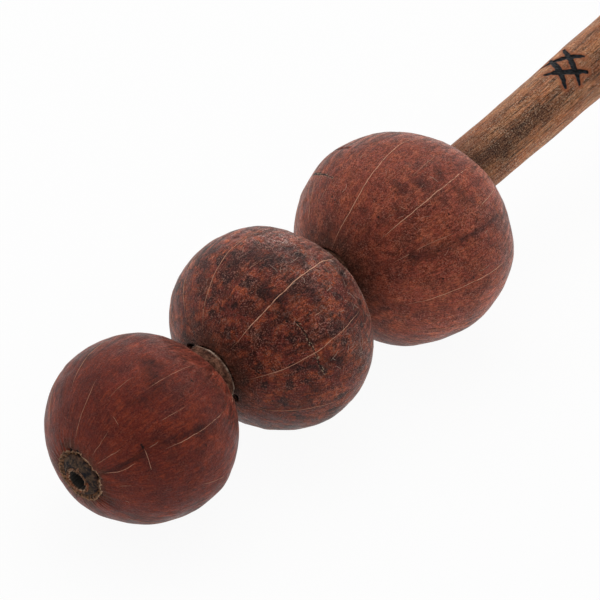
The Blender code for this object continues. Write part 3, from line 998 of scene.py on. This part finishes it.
# Rings along the stick's side: first and last place of each run, and how many; closest at the burnt strokes
SIDE_RINGS = (
    (TIP_PLACE + .001, EXIT_PLACE - .004, 40),
    (EXIT_PLACE - .0035, .2285, 110),
    (.229, .2535, 110),
    (.254, BUTT_PLACE - BUTT_CHAMFER, 110),
)
# Radius of the stick's front end, and how far that end lies off the stick's line
TIP_END_RADIUS = .0051
TIP_END_SHIFT = np.array([0, .00015, -.0014])
# Both ends of each burnt stroke: turn in degrees and place along the stick
burnt_strokes = (
    ((50, .2362), (107, .2484)),
    ((79, .2315), (133, .2445)),
    ((52, .2412), (128, .2318)),
    ((61, .2482), (140, .2382)),
)
STROKE_HALF_WIDTH = .00125
STROKE_DEPTH = .00045
STROKE_BOW = .0005
FAR_FROM_STROKES = .02


def stick_radius(along):
    """Radius of the round stick: an even taper to where it leaves the rear shell, then a slower one."""
    shell_part = between_ends(along, TIP_RADIUS, EXIT_RADIUS)
    handle_share = np.clip((along - EXIT_PLACE) / HANDLE_LENGTH, 0, 1)
    handle_part = EXIT_RADIUS + (BUTT_RADIUS - EXIT_RADIUS) * handle_share
    return np.where(along < EXIT_PLACE, shell_part, handle_part)


def stick_line(along):
    """Rise of the stick's centre line and its slope: straight in the shells, then an arc, then straight."""
    arc_radius = HANDLE_BEND_LENGTH / HANDLE_BEND
    past = np.clip(along - EXIT_PLACE, 0, None)
    angle = np.minimum(np.arcsin(np.clip(past / arc_radius, 0, math.sin(HANDLE_BEND))), HANDLE_BEND)
    straight = np.clip(past - arc_radius * math.sin(HANDLE_BEND), 0, None)
    return arc_radius * (1 - np.cos(angle)) + straight * math.tan(HANDLE_BEND), angle


def stroke_gap(along, turn):
    """Distance from the edge of the nearest burnt stroke, negative inside it.

    Each stroke is a slightly bowed line on the unrolled stick, widest in its middle and blunt at both ends.
    """
    gap = np.full(np.broadcast(along, turn).shape, FAR_FROM_STROKES)
    for number, ((start_turn, start), (end_turn, end)) in enumerate(burnt_strokes):
        to_x = (turn - math.radians(start_turn)) * EXIT_RADIUS
        to_y = along - start
        run_x = math.radians(end_turn - start_turn) * EXIT_RADIUS
        run_y = end - start
        part = share_of_run(to_x, to_y, run_x, run_y)
        bow = STROKE_BOW * np.sin(math.pi * part) * (-1) ** number
        off = np.hypot(to_x - part * run_x, to_y - part * run_y - bow)
        half = STROKE_HALF_WIDTH * (.35 + .65 * np.sin(math.pi * np.clip(part, .03, .97)) ** .6)
        gap = np.minimum(gap, off - half)
    return gap + .00016 * lumps(turned(along, EXIT_RADIUS, turn), .0022, 57)


def stick_skin(along, turn):
    """Unevenness of the stick's side, and the distance to its strokes.

    It adds slow swells, lengthwise grooves and splits of the grain, and the burnt strokes with rough char.
    """
    around = turned(along, .0111, turn)
    stretched = around * np.array([.12, 1, 1])
    longer = stretched * np.array([.8, 1, 1])
    swell = .00022 * lumps(around, .045, 51)
    grooves = .00007 * lumps(stretched, .0035, 52) + .00005 * lumps(stretched, .0016, 53, 40)
    splits = -.00018 * np.clip(lumps(longer, .0026, 54, 40) - 1.5, 0, 1)
    gap = stroke_gap(along, turn)
    burnt = -STROKE_DEPTH * smooth_step(.0002, -.0006, gap)
    char = .00012 * smooth_step(0, -.0005, gap) * lumps(around, .0012, 55)
    return swell + grooves + splits + burnt + char, gap


def make_stick(material):
    """Closed stick: up the pith hole's wall, over the ragged tip, along the side, and over the butt.

    Circles whose radius follows the profile are carried along the bent centre line, square to it.
    """
    turn = whole_turn(STICK_COLUMNS)
    side_along = np.concatenate([np.linspace(*rings) for rings in SIDE_RINGS])[:, None]
    skin, gap = stick_skin(side_along, turn)
    hole_along = np.array([PITH_DEPTH, .011, .006, .002, .0003])[:, None] + TIP_PLACE
    hole_radius = PITH_RADIUS * (1.04 + .05 * ripple(turn, 2, 9, 61)) + .00014 * ripple(turn, 8, 24, 62)
    tip_share = np.array([.12, .35, .6, .85, .97])[:, None]
    tip_edge = TIP_END_RADIUS * (.98 + .025 * ripple(turn, 3, 18, 63))
    tip_rough = .00026 * ripple(turn, 6, 28, 64) * np.sin(math.pi * tip_share)
    tip_along = TIP_PLACE - .0005 + .0005 * np.array([.5, .1, 0, .2, .6])[:, None] + tip_rough
    butt_share = np.array([1, .72, .45, .2])[:, None]
    butt_radius = (BUTT_RADIUS - BUTT_CHAMFER) * butt_share * (1 + .006 * ripple(turn, 3, 12, 65))
    butt_along = BUTT_PLACE - .0003 * (1 - butt_share) + .00006 * ripple(turn, 5, 20, 66)
    parts = (
        (hole_along, hole_radius),
        (tip_along, hole_radius + (tip_edge - hole_radius) * tip_share),
        (side_along, stick_radius(side_along) + skin),
        (butt_along, butt_radius),
    )
    counts = [len(part_along) for part_along, _ in parts]
    along, radius = (
        np.concatenate([np.broadcast_to(part[which], (len(part[0]), STICK_COLUMNS)) for part in parts])
        for which in (0, 1)
    )
    rise, angle = stick_line(along)
    lifted = radius * np.sin(turn)
    local = [along - lifted * np.sin(angle), radius * np.cos(turn), rise + lifted * np.cos(angle)]
    shifted = np.repeat([1, 1, 0, 0], counts)[:, None, None] * TIP_END_SHIFT
    gaps = np.full(radius.shape, FAR_FROM_STROKES)
    gaps[counts[0] + counts[1] : -counts[3]] = gap
    hole_edge = np.zeros((len(radius), 1))
    hole_edge[counts[0]] = 1
    grid = sheet_grid(
        to_world(np.stack(local, axis=-1) + shifted),
        (along - TIP_PLACE) / STICK_LENGTH,
        capped=True,
        stroke_gap=gaps,
        pith_hole=np.repeat([1, 0, 0, 0], counts)[:, None],
        cut_end=np.repeat([1, 1, 0, 1], counts)[:, None],
        hole_edge=hole_edge,
        from_axis=radius,
    )
    make_piece("handle_stick_wood", [grid], material, "rattle", "stick_wood", "handle_stick")


# Scorches: turn in degrees and millimetres along the stick of both ends, width in millimetres, strength
wood_scorches = (
    (122, 176, 140, 192, 6.6, .85), (140, 190, 134, 202, 7.2, .85), (130, 202, 130, 216, 6.2, .85),
    (136, 214, 136, 232, 5, .6), (84, 198, 88, 204, 3.6, .4), (96, 186, 102, 198, 4.4, .4),
    (142, 219, 146, 226, 3.6, .4), (98, 250, 110, 264, 8, .2), (126, 252, 128, 290, 3, .5),
    (148, 243, 147, 256, 2.2, .5), (300, 205, 296, 250, 4, .5),
)
# Painted light: paler stretches along both edges, in the same way
wood_painted_light = ((196, 170, 196, 300, 7, .95), (48, 170, 52, 190, 5, .4), (58, 228, 64, 300, 5, .45))
WOOD_MAP_SCALE = (FULL_TURN * EXIT_RADIUS, STICK_LENGTH, 0)
WOOD_SHEEN = {"Sheen Weight": .08, "Sheen Roughness": .45, "Sheen Tint": (1, .92, .88, 1)}


def stick_share(along):
    """Place along the stick, in millimetres, as a share of its length."""
    return (along * MILLIMETRE - TIP_PLACE) / STICK_LENGTH


# Where the handle next to the rear shell begins and stops being darker and greyer
GREYED_FROM, GREYED_TO = stick_share(176), stick_share(200)


def wood_smear(own_map, start_turn, start, end_turn, end, width, strength):
    """Mask of one streak along the stick."""
    line = (start_turn, stick_share(start), end_turn, stick_share(end))
    return times(smear_mask(own_map, WOOD_MAP_SCALE, line, width * MILLIMETRE, 1), strength)


def make_wood_material():
    """Dry tan wood: grain along the stick, scorched stretches, burnt strokes, and bare end grain."""
    material, place, own_map = new_material("dry_stick_wood", .1, **WOOD_SHEEN)
    tone = fibres(own_map, 2.6, 9, 3, .6)
    line = fibres(own_map, 27, 15, 2, .2)
    fine = fibres(own_map, 44, 38, 2, .2)
    tint = mix_colours(ramp(tone, .36, .64), screen(156, 94, 61), screen(185, 126, 85))
    warm = ramp(noise(place, 80, 3, .6, .5), .48, .64, 0, .6)
    tint = mix_colours(warm, tint, screen(168, 99, 58))
    tint = mix_colours(ramp(line, .57, .6, 0, .8), tint, screen(70, 38, 25))
    tint = shade_colour(tint, ramp(fine, .38, .62, 1.42, .6))
    tint = mix_colours(ramp(fine, .58, .63, 0, .9), tint, screen(48, 24, 15))
    tint, speck = add_grain(place, tint, screen(212, 188, 162), 2900, 1.15)
    greyed = ramp(split(own_map)["Y"], GREYED_FROM, GREYED_TO, .5, 0)
    tint = mix_colours(greyed, tint, screen(78, 49, 38))
    # Painted light along the handle's edges
    for streak in wood_painted_light:
        tint = mix_colours(wood_smear(own_map, *streak), tint, PAINTED_LIGHT_TINT, "MULTIPLY")
    gritty = ramp(speck, .42, .64, 1, .3)
    for streak in wood_scorches:
        tint = mix_colours(times(wood_smear(own_map, *streak), gritty), tint, screen(43, 25, 19))
    gap = mark(material, "stroke_gap")
    tint = mix_colours(ramp(gap, 0, .002, .75, 0), tint, screen(150, 84, 54))
    # Burnt strokes: near-black char with lighter blue-grey patches that are partly painted glints
    soot = ramp(noise(place, 900, 3, .6), .45, .7)
    burnt = ramp(gap, -.00012, .00015, 1, 0)
    tint = mix_colours(burnt, tint, mix_colours(soot, screen(9, 10, 12), screen(34, 41, 48)))
    rings = maths("SINE", times(mark(material, "from_axis"), 5200))
    crumbs = noise(place, 1100, 3, .65)
    end_tint = mix_colours(ramp(crumbs, .35, .65), screen(66, 44, 33), screen(144, 104, 78))
    rusty = ramp(noise(place, 130, 2, .5), .46, .58, 0, .7)
    end_tint = mix_colours(rusty, end_tint, screen(136, 74, 44))
    end_tint = shade_colour(end_tint, ramp(rings, -1, 1, .82, 1.08))
    hole_edge = times(mark(material, "hole_edge"), ramp(crumbs, .42, .58))
    end_tint = mix_colours(hole_edge, end_tint, screen(208, 172, 142))
    tint = mix_colours(mark(material, "cut_end"), tint, end_tint)
    # The pith hole's wall is painted dark grey, partly as the shade deep in the hole
    tint = mix_colours(mark(material, "pith_hole"), tint, screen(74, 70, 66))
    height = plus(plus(times(line, -.6), times(fine, -.5)), times(speck, .3))
    return finish_material(material, tint, ramp(burnt, 0, 1, .58, .42), height, .0003, .7)


make_stick(make_wood_material())


# Seals
def make_resin_material():
    """Dark resin with brown crumbs; brown filler, cream paste and painted highlight, and painted shade
    where marked.
    """
    material, place, _ = new_material("dark_resin", .05)
    cloud = noise(place, 420, 4, .62, .5)
    crumbs = noise(place, 1100, 3, .65)
    tint = mix_colours(ramp(cloud, .4, .6), screen(30, 31, 36), screen(82, 66, 54))
    tint = mix_colours(ramp(crumbs, .52, .68, 0, .45), tint, screen(128, 96, 76))
    tint = shade_colour(tint, ramp(crumbs, .3, .46, .6, 1))
    dust = ramp(crumbs, .36, .62, .5, 1.3)
    brown = mix_colours(ramp(cloud, .35, .65), screen(74, 46, 36), screen(130, 90, 72))
    tint = mix_colours(mark(material, "dusty"), tint, shade_colour(brown, dust))
    tint = mix_colours(mark(material, "cream"), tint, shade_colour(screen(212, 188, 168), dust))
    # Near-black painted shade where the mark says so
    tint = mix_colours(mark(material, "sooty"), tint, screen(14, 10, 8))
    return finish_material(material, tint, .65, crumbs, .0004, .8)


resin_material = make_resin_material()
SEAL_COLUMNS = 192
NOTCH_SPREAD = math.radians(6)
NOTCH_DEPTH = .0012
BRIGHT_SPREAD = .3
# How far a seal's bore stays off the stick
BORE_GAP = .0001


def make_seal(
    name, node, place, radius, profile, seed, rough, sooty=0, notches=(), lean=0, bright_turn=None
):
    """Ring of filler: a closed profile carried round the stick, with uneven radius and reach.

    A stop of the profile is (along, out, how uneven, dusty, cream), with along and out in millimetres from
    the seal's place and radius. No out means just off the stick. A notch is a dent at one turn, where the
    ring is uneven, painted black as the shade in it. lean moves stops with the stick's end. The cream,
    partly a painted highlight along the bead, is whole at bright_turn and worn elsewhere.
    """
    turn = whole_turn(SEAL_COLUMNS)
    stop_along = np.array([[place + stop[0] * MILLIMETRE] for stop in profile])
    stop_radius = stick_radius(stop_along) + BORE_GAP
    for index, stop in enumerate(profile):
        if stop[1] is not None:
            stop_radius[index] = radius + stop[1] * MILLIMETRE
    uneven, dusty, cream = (np.array([[stop[column]] for stop in profile]) for column in (2, 3, 4))
    flat = turned(stop_along, stop_radius, turn)
    broad = rough * lumps(flat, .006, seed)
    small = .35 * rough * lumps(flat, .0018, seed + 1)
    dent = np.zeros(SEAL_COLUMNS)
    for notch in notches:
        dent += bell(turn - math.radians(notch), NOTCH_SPREAD)
    ring_radius = stop_radius + uneven * (broad + small - NOTCH_DEPTH * dent)
    ring_along = stop_along + .5 * uneven * rough * lumps(flat, .005, seed + 2)
    shifted = np.broadcast_to(lean, len(profile))[:, None, None] * TIP_END_SHIFT
    # The cream line is partly a painted highlight along the bead, whole at bright_turn
    worn = .25 + .6 * smooth_step(-1, 1.4, lumps(flat, .007, seed + 3))
    if bright_turn is not None:
        worn = np.maximum(worn, bell(turn - math.radians(bright_turn), BRIGHT_SPREAD))
    # Near-black painted shade over a whole seal that asks for it, and in the notches
    painted_black_shade = np.maximum(sooty, np.clip(1.3 * dent, 0, 1) * (uneven > 0))
    points = to_world(turned(ring_along, ring_radius, turn) + shifted)
    grid = sheet_grid(points, loop=True, dusty=dusty, cream=cream * worn, sooty=painted_black_shade)
    make_piece(name, [grid], resin_material, "rattle", "filler", node)


TIP_SEAL_RADIUS = .0082
tip_profile = (
    (3, None, 0, 0, 0), (1.2, -2.2, .2, 0, 0), (-.2, -3.2, .4, 0, 0), (.1, -2.6, .8, 0, 0),
    (.5, -2, 1, 0, 0), (1, -1.4, 1, 0, 0), (1.2, -.9, 1, .1, 0), (1.6, -.4, .6, .3, 0), (3, 0, 0, 0, 0),
)
tip_lean = (0, 0, 1, .8, .55, .3, .15, 0, 0)
make_seal("tip_resin", "seal_tip", TIP_PLACE, TIP_SEAL_RADIUS, tip_profile, 71, .00022, lean=tip_lean)

neck_front = SHELL_HALF_LENGTH["front"] - .0032
neck_profile = (
    (8.6, None, 0, 1, 0), (0, None, 0, 1, 0), (0, -1.2, 0, 1, 0), (1.2, -.4, .4, 1, 0), (2.2, -.2, 1, 1, 0),
    (3.2, -.3, 1, 1, 0), (4.2, -.2, 1, 1, 0), (5, -.1, 1, 1, 0), (5.3, 0, .8, 1, .3), (5.6, .1, .7, 1, 1),
    (5.9, -.1, .7, 1, .9), (6.1, -.7, .5, 1, 0), (6.4, -1.2, .2, 1, 0), (8.6, -1.2, 0, 1, 0),
)
# The notches are dents painted black as the shade where the collar meets the shells
make_seal(
    "front_neck_collar", "seal_neck_front", neck_front, NECK_SEAL_RADIUS, neck_profile, 75, .00022,
    notches=(44, 211, 330), bright_turn=202,
)

hidden_front = PLACE["middle"] + SHELL_HALF_LENGTH["middle"] - .003
hidden_profile = (
    (6.4, None, 0, .3, 0), (0, None, 0, .3, 0), (0, -1.2, 0, .3, 0), (1, -.6, .6, 1, 0),
    (2.4, -.6, 1, 1, 0), (4, -.6, 1, 1, 0), (5.4, -.6, .6, 1, 0), (6.4, -1.2, 0, .3, 0),
)
# The hidden filler between the middle and rear shells is painted partly near-black as shade
make_seal(
    "rear_neck_filler", "seal_neck_rear", hidden_front, HIDDEN_SEAL_RADIUS, hidden_profile, 79, .00022,
    sooty=.45,
)

handle_profile = (
    (1.2, -3.1, 0, .4, 0), (-4, None, 0, 0, 0), (-4, -1.6, 0, 0, 0), (-2.6, .2, .4, .5, 0),
    (-2, -.1, .8, .4, 0), (-1.3, -.8, 1, .2, 0), (-.6, -1.5, 1, 0, 0), (.2, -2.2, 1, 0, 0),
    (1, -2.6, .8, .2, 0), (1.5, -3, .4, .4, 0),
)
make_seal("handle_resin", "seal_handle", EXIT_PLACE, HANDLE_SEAL_RADIUS, handle_profile, 83, .00024)


# Seeds
def make_seed_material():
    """Hard near-black seed coat with faint brown clouds and a dull scar."""
    material, place, _ = new_material("seed_coat", .5)
    cloud = noise(place, 500, 3, .55)
    tint = mix_colours(ramp(cloud, .4, .68), screen(28, 24, 22), screen(58, 44, 36))
    tint = mix_colours(mark(material, "scar"), tint, screen(108, 88, 66))
    return finish_material(material, tint, ramp(cloud, .3, .7, .28, .45), cloud, .0001, .4)


SEED_COLUMNS = 24
SEED_ROWS = 16
SEED_POLE_GAP = .12


def make_seed(name, seed, material):
    """Slightly uneven ball with a shallow scar at one pole, inside its solid's own size."""
    low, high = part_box(name)
    centre = (np.array(low) + np.array(high)) / 2
    turn = whole_turn(SEED_COLUMNS)
    polar = np.linspace(SEED_POLE_GAP, math.pi - SEED_POLE_GAP, SEED_ROWS)[:, None]
    ball = turned(-np.cos(polar), np.sin(polar), turn)
    random = np.random.default_rng(seed)
    axes, _ = np.linalg.qr(random.normal(size=(3, 3)))
    axes = axes * np.sign(np.linalg.det(axes))
    stretch = random.uniform(.92, .99, 3)
    scar = smooth_step(.45, .2, polar)
    size = SEED_RADIUS * (.985 + .012 * lumps(ball, 1.3, seed + 1) - .05 * scar)
    points = centre + (ball * size[..., None] * stretch) @ axes
    grid = sheet_grid(points, capped=True, scar=scar)
    make_piece(f"{name}_coat", [grid], material, name, "seed_black", name)


seed_material = make_seed_material()
for shell_number, label in enumerate(SHELL_LABELS):
    for number in range(1, SEED_COUNT[label] + 1):
        make_seed(f"seed_{label}_{number}", 1000 + 20 * shell_number + number, seed_material)

# Camera, at the viewing angle of the photograph
CAMERA_TURN = math.radians(-49.866)
CAMERA_RISE = math.radians(37.2225)
CAMERA_DISTANCE = 1.2
camera_aim = np.array([stick_origin[0] + .08486, stick_origin[1] + .00112, .037])
flat_way = np.array([math.sin(CAMERA_TURN), -math.cos(CAMERA_TURN)]) * math.cos(CAMERA_RISE)
to_camera = np.array([*flat_way, math.sin(CAMERA_RISE)])
camera_data = bpy.data.cameras.new("photo_camera")
camera_data.sensor_width = 36
camera_data.lens = 202.67
camera = bpy.data.objects.new("photo_camera", camera_data)
camera.location = (camera_aim + CAMERA_DISTANCE * to_camera).tolist()
camera.rotation_euler = (math.pi / 2 - CAMERA_RISE, 0, CAMERA_TURN)
bpy.context.scene.collection.objects.link(camera)
bpy.context.scene.camera = camera

# Studio
WHITE = (1, 1, 1, 1)
FLOOR_GREY = (.9, .9, .9, 1)
FLOOR_HALF = 4
# How much of the floor reads as plain white; the rest takes the shadow
FLOOR_WHITE = .94


def seen_by(tree, *rays):
    """1 for rays of the kinds named, such as the camera's, so that they can see plain white."""
    path = add_node("ShaderNodeLightPath", tree=tree).outputs
    seen = path[f"Is {rays[0]} Ray"]
    for ray in rays[1:]:
        seen = largest(seen, path[f"Is {ray} Ray"])
    return seen


def make_floor():
    """Pale matt floor that reads as white to the camera and still takes the rattle's shadow."""
    material = bpy.data.materials.new("pale_floor")
    material.use_nodes = True
    tree = material.node_tree
    tree.nodes.remove(tree.nodes["Principled BSDF"])
    matt = add_node("ShaderNodeBsdfDiffuse", {"Color": FLOOR_GREY}, tree).outputs[0]
    white = add_node("ShaderNodeEmission", {"Color": WHITE, "Strength": 1}, tree).outputs[0]
    share = times(seen_by(tree, "Camera", "Transmission", "Glossy"), FLOOR_WHITE)
    mixed = add_node("ShaderNodeMixShader", {0: share, 1: matt, 2: white})
    connect(tree.nodes["Material Output"].inputs["Surface"], mixed.outputs[0])
    mesh = bpy.data.meshes.new("studio_floor")
    signs = ((-1, -1), (1, -1), (1, 1), (-1, 1))
    mesh.from_pydata([(x * FLOOR_HALF, y * FLOOR_HALF, 0) for x, y in signs], [], [(0, 1, 2, 3)])
    mesh.materials.append(material)
    floor = bpy.data.objects.new("studio_floor", mesh)
    bpy.context.scene.collection.objects.link(floor)


def make_world():
    """Even white studio, dimmer at the end where the camera stands."""
    world = bpy.data.worlds.new("white_studio")
    world.use_nodes = True
    tree = world.node_tree
    lit = tree.nodes["Background"]
    way = add_node("ShaderNodeTexCoord", tree=tree).outputs["Generated"]
    towards = vectors("DOT_PRODUCT", way, to_camera.tolist())
    connect(lit.inputs["Strength"], ramp(towards, .1, .95, .9, .34))
    lit.inputs["Color"].default_value = WHITE
    white = add_node("ShaderNodeBackground", {"Color": WHITE, "Strength": 1}, tree).outputs[0]
    seen = seen_by(tree, "Camera", "Transmission")
    mixed = add_node("ShaderNodeMixShader", {0: seen, 1: lit.outputs[0], 2: white})
    connect(tree.nodes["World Output"].inputs["Surface"], mixed.outputs[0])
    bpy.context.scene.world = world


def add_soft_lamp(name, place, target, size, power):
    """Wide square lamp that faces a point."""
    data = bpy.data.lights.new(name, "AREA")
    data.size = size
    data.energy = power
    lamp = bpy.data.objects.new(name, data)
    lamp.location = place
    way = np.array(target) - np.array(place)
    way = way / np.linalg.norm(way)
    lamp.rotation_euler = (math.acos(-way[2]), 0, math.atan2(way[1], way[0]) - math.pi / 2)
    bpy.context.scene.collection.objects.link(lamp)


make_floor()
make_world()
add_soft_lamp("top_lamp", (.35, .3, 1.15), (0, 0, .03), 1, 4.2)
bpy.context.scene.view_settings.view_transform = "Standard"
